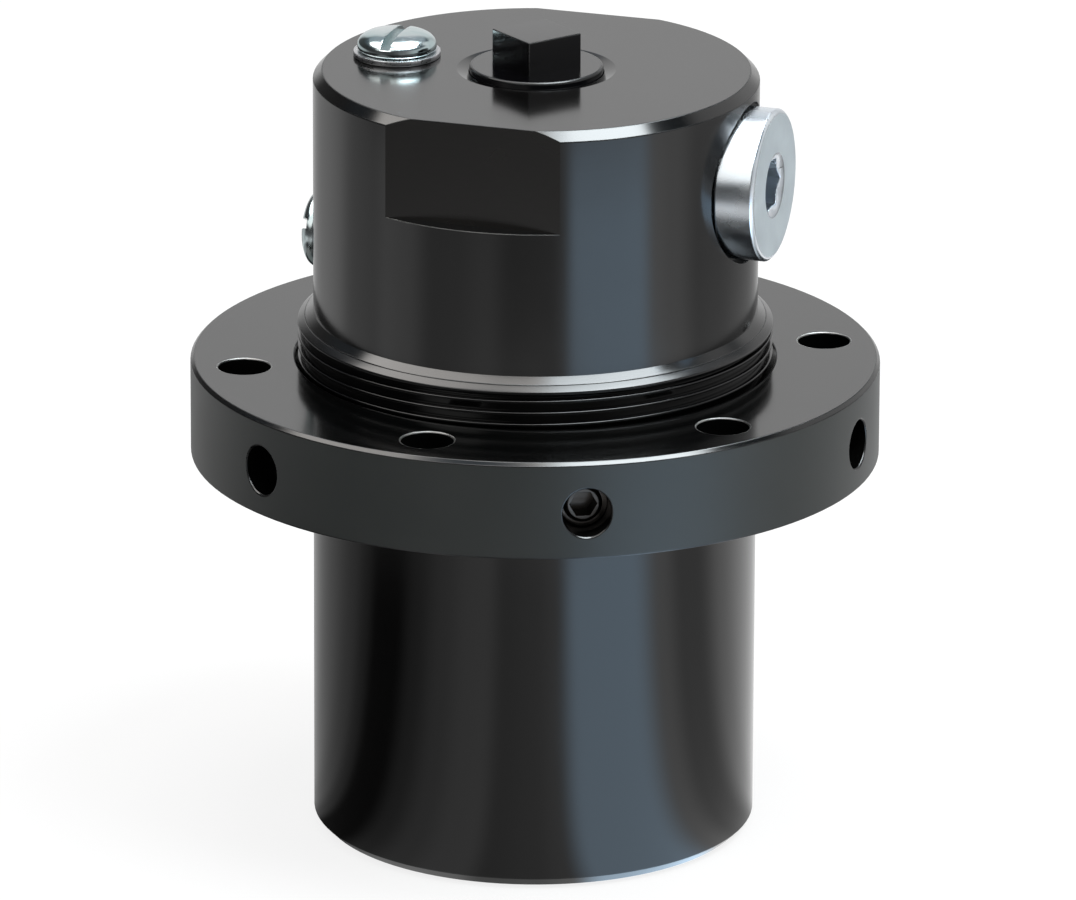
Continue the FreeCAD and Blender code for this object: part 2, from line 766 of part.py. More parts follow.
def make_head_rings():
    """Rings round the rod in the head: wiper, seal with its backup ring, guide band."""
    gap = s.seal_gap
    inner = lip_radius(p.head_bore)
    wiper = p.head_bore + s.head_wiper_wall
    seal = p.head_bore + s.head_seal_wall
    backup = p.seal_high - s.backup_height
    return [
        lipped_ring("head_wiper", p.head_bore, wiper, p.wiper_low, p.wiper_high, False),
        lipped_ring("rod_seal", p.head_bore, seal, p.seal_low, backup, True),
        turned("seal_backup_ring", ring_outline(inner, seal - gap, backup, p.seal_high - gap)),
        turned("head_guide_ring", ring_outline(
            inner, p.head_bore + s.head_guide_wall - gap, p.guide_low + gap, p.guide_high - gap))]


def make_port_plug():
    """The collar plug, with a hexagon socket and a groove for its sealing ring."""
    shank = p.port_radius - s.running_gap
    length = s.port_depth - s.plug_end_gap
    collar = p.plug_collar
    edge = s.plug_edge
    low = s.seat_gap
    high = s.plug_collar_height
    ring_in = p.port_radius + s.hole_edge
    ring_out = ring_in + s.plug_ring_wall
    body = turned("port_plug", [
        (0, -length), (shank - edge * 2, -length), (shank, edge * 2 - length),
        (shank, s.plug_ring_height), (ring_out, s.plug_ring_height), (ring_out, low),
        (collar - edge / 2, low), (collar, low + edge / 2), (collar, high - edge),
        (collar - edge, high), (0, high)])
    sketch = add_sketch(body, "plug_socket_outline", "XY_Plane", high)
    draw_outline(sketch, hexagon(s.plug_socket))
    cut_pocket(body, sketch, "plug_socket", s.plug_socket_depth)
    ring = turned("port_plug_ring", ring_outline(
        ring_in, ring_out - s.seal_gap, s.seal_gap, s.plug_ring_height - s.seal_gap))
    sideways = FreeCAD.Rotation(FreeCAD.Vector(0, 1, 0), 90)
    for piece in (body, ring):
        place(piece, p.port_seat, 0, p.port_height, sideways)
    return [body, ring]


def make_bleed_screw(label):
    """A slotted screw and its sealing ring, upright with the seat at the origin."""
    shank = s.bleed_thread / 2
    head = s.bleed_head / 2
    tip = s.bleed_tip
    crown = s.bleed_head_crown
    low = s.bleed_ring_height + s.seal_gap * 2
    high = low + s.bleed_head_height
    screw = turned(label + "_screw", [
        (0, -s.bleed_length), (shank - tip, -s.bleed_length), (shank, tip - s.bleed_length),
        (shank, low), (head - tip / 3, low), (head, low + tip / 3), (head, high - crown),
        (head - crown, high - crown / 3), (head - crown * 2, high), (0, high)])
    sketch = add_sketch(screw, label + "_slot_outline", "XY_Plane", high)
    half = s.bleed_slot / 2
    reach = head + OVERRUN
    draw_outline(sketch, rectangle(-half, half, -reach, reach))
    cut_pocket(screw, sketch, label + "_slot", s.bleed_slot_depth)
    ring_top = s.bleed_ring_height + s.seal_gap
    ring = turned(label + "_ring", ring_outline(
        p.bleed_hole + s.running_gap, head + s.bleed_ring_rim, s.seal_gap, ring_top))
    return [screw, ring]


def make_bleed_screws():
    """One screw in the top face, and one on the side for a cylinder that lies flat."""
    top = make_bleed_screw("top_bleed")
    for piece in top:
        place(piece, -p.drilling_place, 0, s.body_height, FreeCAD.Rotation())
    side = make_bleed_screw("side_bleed")
    sideways = FreeCAD.Rotation(FreeCAD.Vector(0, 1, 0), -90)
    for piece in side:
        place(piece, -p.side_bleed_seat, 0, p.side_bleed_height, sideways)
    return top + side


def make_pieces():
    spring_count, lower_washer = spring_space()
    pieces = [make_cylinder_body(), make_flange_ring(), make_lock_screw(), make_lock_pad(),
              make_tie_rod(), make_piston()]
    pieces += make_piston_rings()
    pieces += make_washers(lower_washer)
    pieces.append(make_disc_springs(spring_count, p.cover_top + lower_washer))
    pieces.append(make_bottom_cover())
    pieces += make_cover_rings()
    pieces += make_head_rings()
    pieces += make_port_plug()
    pieces += make_bleed_screws()
    return pieces


def check_document():
    """Stop if any object failed, because a failed one can keep an old shape."""
    for item in document.Objects:
        if "Invalid" in item.State or "Error" in item.State:
            raise RuntimeError("failed object: %s %s" % (item.Label, item.State))


def write_pieces(pieces):
    os.makedirs("parts", exist_ok=True)
    for piece in pieces:
        if piece.Shape.isNull() or not piece.Shape.isValid() or not piece.Shape.Solids:
            raise RuntimeError("bad shape: " + piece.Label)
    for piece in pieces:
        piece.Shape.exportStep(os.path.join("parts", piece.Label + ".step"))
        box = piece.Shape.BoundBox
        print("%-20s solids %2d  volume %9.1f  z %7.2f to %7.2f" % (
            piece.Label, len(piece.Shape.Solids), piece.Shape.Volume, box.ZMin, box.ZMax))


document = FreeCAD.newDocument("clamping_cylinder")
s = fill_sheet(document)
p = shared_places(s)
all_pieces = make_pieces()
document.recompute()
check_document()
write_pieces(all_pieces)
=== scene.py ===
import math

import bmesh
import bpy
from mathutils import Matrix, Vector


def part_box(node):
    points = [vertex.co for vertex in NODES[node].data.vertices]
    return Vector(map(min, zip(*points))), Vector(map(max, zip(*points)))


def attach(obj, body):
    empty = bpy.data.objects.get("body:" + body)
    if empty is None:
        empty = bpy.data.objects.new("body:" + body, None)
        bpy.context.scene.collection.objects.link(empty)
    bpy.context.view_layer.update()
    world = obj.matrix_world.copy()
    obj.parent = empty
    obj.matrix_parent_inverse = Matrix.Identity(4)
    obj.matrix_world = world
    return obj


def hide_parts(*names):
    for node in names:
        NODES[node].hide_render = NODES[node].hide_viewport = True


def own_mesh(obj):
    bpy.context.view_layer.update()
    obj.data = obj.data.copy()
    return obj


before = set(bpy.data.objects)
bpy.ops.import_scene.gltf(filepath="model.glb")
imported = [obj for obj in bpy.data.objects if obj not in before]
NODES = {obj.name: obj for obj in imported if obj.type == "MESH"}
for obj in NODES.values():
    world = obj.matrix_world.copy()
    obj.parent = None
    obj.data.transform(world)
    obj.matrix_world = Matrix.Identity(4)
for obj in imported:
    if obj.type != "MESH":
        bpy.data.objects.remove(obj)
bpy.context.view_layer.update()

# Clamping cylinder: the CAD pieces get their finishes, and the body thread, the slotted screws,
# the port plug, the springs and the studio are added here. Lengths in the lists are millimetres.

MM = 0.001
MERGE_DISTANCE = 0.001 * MM

# Sizes shared with the CAD pieces
THREAD_PITCH = 1.5
THREAD_CREST = 29.94
THREAD_ROOT = 29.0
FLAT_DISTANCE = 25.6
LEDGE_HEIGHT = 86.0
RING_SIDE_RADIUS = 43.2
RING_TOP = 61.2
LOCK_LENGTH = 8.0


def middle_of(node):
    """The middle of a CAD piece's box, in millimetres."""
    low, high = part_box(node)
    return Vector([(low[axis] + high[axis]) / 2 / MM for axis in range(3)])


# Places taken from the CAD pieces
PLUG_PLACE = Vector((26.1, 0.0, middle_of("port_plug").z))
TOP_BLEED = Vector((-18.4, 0.0, 99.0))
SIDE_BLEED = Vector((-27.0, 0.0, middle_of("side_bleed_screw").z))
LOCK_MIDDLE = middle_of("flange_lock_screw")
LOCK_TURN = math.atan2(LOCK_MIDDLE.y, LOCK_MIDDLE.x)
LOCK_TIP = math.hypot(LOCK_MIDDLE.x, LOCK_MIDDLE.y) - LOCK_LENGTH / 2
SPRING_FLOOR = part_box("disc_springs")[0].z / MM


# Modelling helpers

def clear_selection():
    """Nothing stays selected, so that the next operator acts on its own piece alone."""
    if bpy.context.object and bpy.context.object.mode != "OBJECT":
        bpy.ops.object.mode_set(mode="OBJECT")
    bpy.ops.object.select_all(action="DESELECT")


def take(piece):
    """Make one piece the selected and active one."""
    clear_selection()
    piece.select_set(True)
    bpy.context.view_layer.objects.active = piece


def named(name):
    """Name the piece that the last primitive made, and put its place in its mesh."""
    piece = bpy.context.object
    piece.name = name
    piece.data.name = name
    bpy.ops.object.transform_apply(location=True, rotation=True, scale=True)
    return piece


def face_outward(piece):
    """Turn all faces of a piece the right way out."""
    take(piece)
    bpy.ops.object.mode_set(mode="EDIT")
    bpy.ops.mesh.select_all(action="SELECT")
    bpy.ops.mesh.normals_make_consistent(inside=False)
    bpy.ops.object.mode_set(mode="OBJECT")


def turned_piece(name, steps, sides=96, ring=False):
    """A round piece drawn up from a circle: each step is a radius and a height in millimetres."""
    clear_selection()
    radius, height = steps[0]
    bpy.ops.mesh.primitive_circle_add(vertices=sides, radius=radius * MM, location=(0, 0, height * MM),
                                      fill_type="NOTHING" if ring else "NGON")
    piece = named(name)
    bpy.ops.object.mode_set(mode="EDIT")
    bpy.ops.mesh.select_all(action="SELECT")
    extrude = bpy.ops.mesh.extrude_edges_move if ring else bpy.ops.mesh.extrude_region_move
    for next_radius, next_height in steps[1:]:
        extrude(TRANSFORM_OT_translate={"value": (0, 0, (next_height - height) * MM)})
        scale = next_radius / radius
        bpy.ops.transform.resize(value=(scale, scale, 1), center_override=(0, 0, next_height * MM))
        radius, height = next_radius, next_height
    bpy.ops.mesh.select_all(action="SELECT")
    bpy.ops.mesh.remove_doubles(threshold=MERGE_DISTANCE)
    bpy.ops.object.mode_set(mode="OBJECT")
    face_outward(piece)
    return piece


# A thread ridge: its foot as a share of the pitch, and its crest as a share of the foot
ROOT_SHARE = 0.88
CREST_SHARE = 0.28


def helical_ridge(name, crest, root, pitch, low, high, first, steps, rounding):
    """A thread ridge wound up an axis and cut level at its ends; first is a height where it starts."""
    middle = (crest + root) / 2
    clear_selection()
    bpy.ops.mesh.primitive_plane_add(size=1, location=(middle * MM, 0, first * MM),
                                     rotation=(math.radians(90), 0, 0))
    bpy.context.object.scale = ((crest - root) * MM, pitch * ROOT_SHARE * MM, 1)
    ridge = named(name)
    for vertex in ridge.data.vertices:
        vertex.select = vertex.co.x > middle * MM
    bpy.ops.object.mode_set(mode="EDIT")
    bpy.ops.mesh.select_mode(type="VERT")
    bpy.ops.transform.resize(value=(1, 1, CREST_SHARE), center_override=(crest * MM, 0, first * MM))
    bpy.ops.mesh.bevel(offset=rounding * MM, segments=2, affect="VERTICES")
    bpy.ops.mesh.select_all(action="SELECT")
    bpy.ops.mesh.delete(type="ONLY_FACE")
    bpy.ops.object.mode_set(mode="OBJECT")
    helix = ridge.modifiers.new("helix", "SCREW")
    helix.axis = "Z"
    helix.angle = math.radians(360)
    helix.screw_offset = pitch * MM
    helix.iterations = math.ceil((high - first) / pitch) + 2
    helix.steps = steps
    helix.render_steps = steps
    bpy.ops.object.modifier_apply(modifier=helix.name)
    bpy.ops.object.mode_set(mode="EDIT")
    for height, side in ((low, -1), (high, 1)):
        bpy.ops.mesh.select_all(action="SELECT")
        bpy.ops.mesh.bisect(plane_co=(0, 0, height * MM), plane_no=(0, 0, side), use_fill=True,
                            clear_outer=True, threshold=MERGE_DISTANCE)
    bpy.ops.object.mode_set(mode="OBJECT")
    face_outward(ridge)
    bpy.ops.object.shade_smooth_by_angle(angle=math.radians(50))
    return ridge


def join_pieces(main, *others):
    """Join the other pieces into the first."""
    take(main)
    for other in others:
        other.select_set(True)
    bpy.ops.object.join()
    return main


def cut_away(piece, cutter):
    """Take the cutter's shape out of the piece, then delete the cutter."""
    take(piece)
    cut = piece.modifiers.new("cut", "BOOLEAN")
    cut.operation = "DIFFERENCE"
    cut.solver = "EXACT"
    cut.object = cutter
    bpy.ops.object.modifier_apply(modifier=cut.name)
    bpy.data.objects.remove(cutter)


def break_edges(piece, width, angle=28, segments=2, edge_finish=0):
    """Round every sharp outer edge a little; returns the points that lie inside the new strips."""
    take(piece)
    bpy.ops.object.mode_set(mode="EDIT")
    bpy.ops.mesh.select_mode(type="EDGE")
    bpy.ops.mesh.select_all(action="DESELECT")
    mesh = bmesh.from_edit_mesh(piece.data)
    for edge in mesh.edges:
        if edge.is_manifold and edge.is_convex and edge.calc_face_angle() > math.radians(angle):
            edge.select_set(True)
    bmesh.update_edit_mesh(piece.data)
    bpy.ops.mesh.bevel(offset=width * MM, segments=segments, affect="EDGES", loop_slide=False,
                       material=edge_finish)
    bpy.ops.object.mode_set(mode="OBJECT")
    faces = [polygon for polygon in piece.data.polygons if not polygon.select]
    outside = {vertex for polygon in faces for vertex in polygon.vertices}
    bpy.ops.object.shade_smooth_by_angle(angle=math.radians(40))
    return [vertex.index for vertex in piece.data.vertices if vertex.index not in outside]


def keep_flat(piece):
    """Weight the shading by face size, so that the narrow strips don't pull at the faces beside them."""
    take(piece)
    flat = piece.modifiers.new("flat", "WEIGHTED_NORMAL")
    flat.keep_sharp = True
    bpy.ops.object.modifier_apply(modifier=flat.name)


# A face is level when its normal has less than LEVEL across the axis. The other two are cosines:
# of 5 degrees between a face and its radius, and of 6 degrees between normals that belong together.
LEVEL = 0.02
ROUND = 0.9962
TOGETHER = 0.9945


def shade_round(piece, strips):
    """Exact shading for faces turned round the upright axis: facets and hole rims no longer show."""
    mesh = piece.data
    inside = set(strips)
    normals = [corner.vector.copy() for corner in mesh.corner_normals]
    exact = {}
    for polygon in mesh.polygons:
        across = math.hypot(polygon.normal.x, polygon.normal.y)
        if across < LEVEL or not inside.isdisjoint(polygon.vertices):
            continue
        facing = Vector((polygon.normal.x, polygon.normal.y, 0)) / across
        outward = [mesh.vertices[index].co.to_2d().to_3d().normalized() for index in polygon.vertices]
        side = 1 if outward[0].dot(facing) > 0 else -1
        if min(direction.dot(facing) * side for direction in outward) < ROUND:
            continue
        for loop, index, direction in zip(polygon.loop_indices, polygon.vertices, outward):
            normals[loop] = direction * side * across + Vector((0, 0, polygon.normal.z))
            exact.setdefault(index, []).append(normals[loop])
    for loop, corner in enumerate(mesh.loops):
        for normal in exact.get(corner.vertex_index, ()):
            if normal.dot(normals[loop]) > TOGETHER:
                normals[loop] = normal
    mesh.normals_split_custom_set(normals)


def move_into_place(piece, place, turn=(0, 0, 0)):
    """Turn and move a piece that was modelled upright at the origin."""
    take(piece)
    piece.rotation_euler = turn
    piece.location = Vector(place) * MM
    bpy.ops.object.transform_apply(location=True, rotation=True, scale=True)


def copy_of(piece, name):
    """A copy with its own mesh."""
    other = piece.copy()
    other.data = piece.data.copy()
    other.name = name
    other.data.name = name
    bpy.context.scene.collection.objects.link(other)
    return other


# Finishes

def new_finish(name):
    """A new material, with its node tree and its main shader."""
    finish = bpy.data.materials.new(name)
    finish.use_nodes = True
    tree = finish.node_tree
    return finish, tree, tree.nodes["Principled BSDF"]


def add(tree, kind, **settings):
    node = tree.nodes.new(kind)
    for key, value in settings.items():
        setattr(node, key, value)
    return node


def join(tree, start, end):
    tree.links.new(start, end)


def axis_distance(tree, split):
    """Distance from the upright axis, from coordinates that are already split."""
    flat = add(tree, "ShaderNodeCombineXYZ")
    join(tree, split.outputs["X"], flat.inputs["X"])
    join(tree, split.outputs["Y"], flat.inputs["Y"])
    length = add(tree, "ShaderNodeVectorMath", operation="LENGTH")
    join(tree, flat.outputs["Vector"], length.inputs[0])
    return length.outputs["Value"]


def around_axis(tree, centre=(0, 0, 0), turn=(0, 0, 0)):
    """Radius and height about a piece's own axis, as a vector that turning marks are drawn on."""
    place = add(tree, "ShaderNodeTexCoord")
    shift = add(tree, "ShaderNodeMapping", vector_type="TEXTURE")
    shift.inputs["Location"].default_value = [value * MM for value in centre]
    shift.inputs["Rotation"].default_value = turn
    join(tree, place.outputs["Object"], shift.inputs["Vector"])
    split = add(tree, "ShaderNodeSeparateXYZ")
    join(tree, shift.outputs["Vector"], split.inputs["Vector"])
    marks = add(tree, "ShaderNodeCombineXYZ")
    join(tree, axis_distance(tree, split), marks.inputs["X"])
    join(tree, split.outputs["Z"], marks.inputs["Y"])
    return marks.outputs["Vector"], place.outputs["Object"]


def noise(tree, vector, scale, detail=3.0, roughness=0.55):
    """A cloudy pattern; its scale is per metre."""
    pattern = add(tree, "ShaderNodeTexNoise")
    pattern.inputs["Scale"].default_value = scale
    pattern.inputs["Detail"].default_value = detail
    pattern.inputs["Roughness"].default_value = roughness
    join(tree, vector, pattern.inputs["Vector"])
    return pattern.outputs["Fac"]


def spread(tree, value, low, high):
    """Map a pattern's middle range to a value range."""
    reach = add(tree, "ShaderNodeMapRange")
    reach.inputs["From Min"].default_value = 0.3
    reach.inputs["From Max"].default_value = 0.7
    reach.inputs["To Min"].default_value = low
    reach.inputs["To Max"].default_value = high
    join(tree, value, reach.inputs["Value"])
    return reach.outputs["Result"]


def mix_colours(tree, amount, first, second):
    """Blend two colours; each is a socket or a plain colour."""
    blend = add(tree, "ShaderNodeMix", data_type="RGBA")
    colours = [socket for socket in blend.inputs if socket.type == "RGBA"]
    for socket, colour in zip(colours, (first, second)):
        if isinstance(colour, tuple):
            socket.default_value = (*colour, 1)
        else:
            join(tree, colour, socket)
    join(tree, amount, blend.inputs["Factor"])
    return [socket for socket in blend.outputs if socket.type == "RGBA"][0]


def colour_and_gloss(tree, shader, clouds, first, second, pattern, low, high):
    """Colour between two shades by one pattern, roughness between two levels by another."""
    shade = mix_colours(tree, spread(tree, clouds, 0.0, 1.0), first, second)
    join(tree, shade, shader.inputs["Base Color"])
    join(tree, spread(tree, pattern, low, high), shader.inputs["Roughness"])


def raise_marks(tree, shader, *patterns):
    """Bump from one pattern or more, each given with its depth."""
    end = shader.inputs["Normal"]
    for marks, depth in reversed(patterns):
        bump = add(tree, "ShaderNodeBump")
        bump.inputs["Strength"].default_value = 1.0
        bump.inputs["Distance"].default_value = depth * MM
        join(tree, marks, bump.inputs["Height"])
        join(tree, bump.outputs["Normal"], end)
        end = bump.inputs["Normal"]


def black_oxide(name, first, second, gloss, marks_depth):
    """Blued and oiled turned steel: nearly black, with a clear reflection and faint turning marks."""
    finish, tree, shader = new_finish(name)
    rings, place = around_axis(tree)
    patches = noise(tree, place, 45.0, 4.0)
    grain = noise(tree, place, 900.0, 2.0)
    lathe = noise(tree, rings, 2600.0, 2.0, 0.6)
    colour_and_gloss(tree, shader, patches, first, second, patches, gloss - 0.03, gloss + 0.04)
    shader.inputs["Metallic"].default_value = 0.0
    shader.inputs["IOR"].default_value = 1.5
    raise_marks(tree, shader, (lathe, marks_depth), (grain, marks_depth * 0.5))
    return finish


def plated(name, first, second, gloss, centre, turn, marks_depth=0.004, metal=1.0):
    """Bright zinc plate over a turned surface, a little bluish and uneven."""
    finish, tree, shader = new_finish(name)
    rings, place = around_axis(tree, centre, turn)
    clouds = noise(tree, place, 260.0, 3.0)
    lathe = noise(tree, rings, 3800.0, 2.0, 0.7)
    colour_and_gloss(tree, shader, clouds, first, second, clouds, gloss - 0.05, gloss + 0.07)
    shader.inputs["Metallic"].default_value = metal
    raise_marks(tree, shader, (lathe, marks_depth))
    return finish


def plain_metal(name, first, second, gloss):
    """Turned or ground bare metal."""
    finish, tree, shader = new_finish(name)
    rings, place = around_axis(tree)
    clouds = noise(tree, place, 150.0, 3.0)
    lathe = noise(tree, rings, 2200.0, 2.0, 0.6)
    colour_and_gloss(tree, shader, clouds, first, second, lathe, gloss - 0.06, gloss + 0.08)
    shader.inputs["Metallic"].default_value = 1.0
    raise_marks(tree, shader, (lathe, 0.006))
    return finish


def moulded(name, first, second, gloss, grain_scale, grain_depth):
    """Rubber, polyurethane and filled resin of the seals and guide rings."""
    finish, tree, shader = new_finish(name)
    place = add(tree, "ShaderNodeTexCoord").outputs["Object"]
    clouds = noise(tree, place, 180.0, 3.0)
    grain = noise(tree, place, grain_scale, 3.0)
    colour_and_gloss(tree, shader, clouds, first, second, grain, gloss - 0.08, gloss + 0.08)
    raise_marks(tree, shader, (grain, grain_depth))
    return finish


UPRIGHT = (0, 0, 0)
TO_PORT = (0, math.radians(90), 0)
TO_SIDE_BLEED = (0, math.radians(-90), 0)

# Two linear colours that a finish drifts between and its roughness. Then a black oxide has the depth of its
# marks in millimetres, and a moulded one the scale and the depth of its grain. A plated one has the middle
# and the turn of its piece, and may have the depth and how far it is metal.
FINISHES = {
    "body": black_oxide("black_oxide_body", (0.0014, 0.0015, 0.0016), (0.0030, 0.0027, 0.0025),
                        0.13, 0.0012),
    "ring": black_oxide("black_oxide_flange_ring", (0.0014, 0.0016, 0.0017), (0.0030, 0.0031, 0.0029),
                        0.14, 0.0015),
    "rod": black_oxide("black_oxide_rod", (0.0008, 0.0008, 0.0014), (0.0016, 0.0014, 0.0020),
                       0.14, 0.0010),
    "thread": black_oxide("black_oxide_thread", (0.0006, 0.0007, 0.0010), (0.0014, 0.0013, 0.0014),
                          0.16, 0.0010),
    "shoulder": black_oxide("black_oxide_thread_shoulder", (0.0010, 0.0011, 0.0014), (0.0020, 0.0019, 0.0020),
                            0.20, 0.0020),
    "ring_side": black_oxide("black_oxide_flange_side", (0.018, 0.022, 0.021), (0.028, 0.031, 0.030),
                             0.42, 0.0040),
    "flat": black_oxide("black_oxide_milled_flat", (0.0050, 0.0042, 0.0036), (0.0085, 0.0070, 0.0058),
                        0.26, 0.0040),
    "rubbed_edge": plain_metal("oxide_rubbed_off_edges", (0.030, 0.031, 0.032), (0.070, 0.070, 0.070), 0.30),
    "worn_lip": plain_metal("worn_hole_lips", (0.20, 0.20, 0.20), (0.34, 0.34, 0.33), 0.38),
    "plug": plated("zinc_plug", (0.62, 0.68, 0.74), (0.74, 0.78, 0.82), 0.24,
                   (0, 0, PLUG_PLACE.z), TO_PORT),
    "plug_face": plated("zinc_plug_face", (0.60, 0.68, 0.73), (0.68, 0.76, 0.80), 0.42,
                        (0, 0, PLUG_PLACE.z), TO_PORT, 0.008, 0.5),
    "top_screw": plated("zinc_top_bleed_screw", (0.36, 0.47, 0.48), (0.56, 0.61, 0.62), 0.14,
                        TOP_BLEED, UPRIGHT),
    "side_screw": plated("zinc_side_bleed_screw", (0.36, 0.47, 0.48), (0.56, 0.61, 0.62), 0.14,
                         SIDE_BLEED, TO_SIDE_BLEED),
    "set_screw": plain_metal("grey_set_screw", (0.060, 0.054, 0.050), (0.100, 0.092, 0.086), 0.32),
    "seal_ring": plain_metal("plated_sealing_ring", (0.42, 0.42, 0.44), (0.55, 0.55, 0.56), 0.30),
    "ground": plain_metal("ground_steel", (0.42, 0.42, 0.43), (0.52, 0.52, 0.53), 0.24),
    "spring": plain_metal("phosphated_spring_steel", (0.085, 0.087, 0.090), (0.13, 0.13, 0.135), 0.42),
    "clip": plain_metal("blued_clip_steel", (0.11, 0.115, 0.14), (0.16, 0.16, 0.18), 0.30),
    "bronze": plain_metal("sintered_bronze", (0.42, 0.25, 0.12), (0.55, 0.36, 0.18), 0.38),
    "brass": plain_metal("soft_brass", (0.62, 0.44, 0.17), (0.72, 0.54, 0.24), 0.28),
    "nitrile": moulded("nitrile_rubber", (0.012, 0.012, 0.013), (0.022, 0.022, 0.022), 0.48, 2400.0, 0.006),
    "polyurethane": moulded("blue_polyurethane", (0.030, 0.075, 0.16), (0.045, 0.10, 0.20),
                            0.36, 1600.0, 0.004),
    "ptfe": moulded("bronze_filled_ptfe", (0.16, 0.085, 0.045), (0.22, 0.13, 0.07), 0.46, 3200.0, 0.006),
    "resin": moulded("woven_guide_resin", (0.32, 0.22, 0.11), (0.42, 0.31, 0.17), 0.50, 2600.0, 0.012),
}

NODE_FINISHES = {
    "cylinder_body": "body", "flange_ring": "ring", "bottom_cover": "body", "tie_rod": "rod",
    "rod_retaining_ring": "clip", "piston": "ground", "upper_spring_washer": "ground",
    "lower_spring_washer": "ground", "disc_springs": "spring", "rod_bush": "bronze",
    "flange_lock_pad": "brass", "flange_lock_screw": "set_screw", "port_plug": "plug",
    "top_bleed_screw": "top_screw", "side_bleed_screw": "side_screw", "top_bleed_ring": "seal_ring",
    "side_bleed_ring": "seal_ring", "port_plug_ring": "nitrile", "piston_energiser": "nitrile",
    "piston_inner_o_ring": "nitrile", "lower_wiper": "polyurethane", "head_wiper": "polyurethane",
    "rod_seal": "polyurethane", "piston_slide_ring": "ptfe", "piston_guide_ring": "resin",
    "head_guide_ring": "resin", "seal_backup_ring": "resin",
}


def paint(piece, finish):
    """Give the whole piece one finish."""
    if not piece.material_slots:
        piece.data.materials.append(FINISHES[finish])
    for slot in piece.material_slots:
        slot.material = FINISHES[finish]


for node, finish in NODE_FINISHES.items():
    paint(NODES[node], finish)


# CAD pieces with broken edges

# Finishes that are rubbed off along the edges, and the material slot of the rubbed strips
BARE_EDGES = ("body", "ring", "rod")
EDGE_SLOT = 1


def edged_copy(node, body, slot, width):
    """A CAD piece again, merged, with every sharp edge broken and a little bare along it."""
    piece = copy_of(NODES[node], node + "_edged")
    piece.parent = None
    take(piece)
    bpy.ops.mesh.customdata_custom_splitnormals_clear()
    bpy.ops.object.mode_set(mode="EDIT")
    bpy.ops.mesh.select_all(action="SELECT")
    bpy.ops.mesh.remove_doubles(threshold=MERGE_DISTANCE)
    bpy.ops.mesh.select_all(action="SELECT")
    bpy.ops.mesh.dissolve_limited(angle_limit=math.radians(0.2))
    bpy.ops.object.mode_set(mode="OBJECT")
    finish = NODE_FINISHES[node]
    paint(piece, finish)
    bare = finish in BARE_EDGES
    if bare:
        piece.data.materials.append(FINISHES["rubbed_edge"])
    strips = break_edges(piece, width, edge_finish=EDGE_SLOT if bare else 0)
    keep_flat(piece)
    shade_round(piece, strips)
    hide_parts(node)
    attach(piece, body)
    return piece


# Node, body that it rides on, slot of the record, width of the broken edges
EDGED = [
    ("cylinder_body", "cylinder", "black_oxide_steel", 0.10),
    ("bottom_cover", "cylinder", "black_oxide_steel", 0.15),
    ("rod_bush", "cylinder", "bronze_bush", 0.15),
    ("lower_wiper", "cylinder", "seal_polyurethane", 0.12),
    ("head_wiper", "cylinder", "seal_polyurethane", 0.12),
    ("rod_seal", "cylinder", "seal_polyurethane", 0.12),
    ("seal_backup_ring", "cylinder", "guide_resin", 0.12),
    ("head_guide_ring", "cylinder", "guide_resin", 0.12),
    ("lower_spring_washer", "cylinder", "ground_steel", 0.20),
    ("upper_spring_washer", "piston", "ground_steel", 0.20),
    ("piston", "piston", "ground_steel", 0.12),
    ("piston_slide_ring", "piston", "ptfe_bronze", 0.12),
    ("piston_guide_ring", "piston", "guide_resin", 0.12),
    ("flange_ring", "flange", "black_oxide_steel", 0.09),
    ("tie_rod", "rod", "black_oxide_steel", 0.16),
    ("rod_retaining_ring", "rod", "spring_steel", 0.10),
    ("top_bleed_ring", "top_bleed_ring", "copper_ring", 0.14),
    ("side_bleed_ring", "side_bleed_ring", "copper_ring", 0.14),
]
COPIES = {row[0]: edged_copy(*row) for row in EDGED}


def finish_faces(piece, finish, wanted, among=0):
    """Another finish for the faces that a test picks by their middle and direction."""
    piece.data.materials.append(FINISHES[finish])
    for polygon in piece.data.polygons:
        if polygon.material_index == among and wanted(polygon.center / MM, polygon.normal):
            polygon.material_index = len(piece.data.materials) - 1


def ring_side(middle, normal):
    return abs(normal.z) < 0.2 and middle.xy.length > RING_SIDE_RADIUS


def bolt_hole_lip(middle, normal):
    return middle.z > RING_TOP and 33.0 < middle.xy.length < 42.5


def wrench_flat(middle, normal):
    return abs(normal.y) > 0.999 and abs(abs(middle.y) - FLAT_DISTANCE) < 0.05


def shaded_ledge_under_flat(middle, normal):
    return normal.z > 0.999 and abs(middle.z - LEDGE_HEIGHT) < 0.02


def ledge_lip(middle, normal):
    return abs(middle.z - LEDGE_HEIGHT + 0.04) < 0.06 and abs(middle.y) > FLAT_DISTANCE + 0.1


finish_faces(COPIES["flange_ring"], "ring_side", ring_side)
finish_faces(COPIES["flange_ring"], "worn_lip", bolt_hole_lip, EDGE_SLOT)
finish_faces(COPIES["cylinder_body"], "flat", wrench_flat)
# Painted shade: the ledge under each flat gets the darker thread finish, standing in for the shade and dark
# reflection under the flat.
finish_faces(COPIES["cylinder_body"], "thread", shaded_ledge_under_flat)
finish_faces(COPIES["cylinder_body"], "worn_lip", ledge_lip, EDGE_SLOT)


# Body thread

def body_thread(name, low, high, first):
    """The thread that the flange ring is screwed on, as far as it shows beside the ring."""
    ridge = helical_ridge(name, THREAD_CREST, THREAD_ROOT, THREAD_PITCH, low, high, first,
                          steps=200, rounding=0.09)
    paint(ridge, "thread")
    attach(ridge, "cylinder")


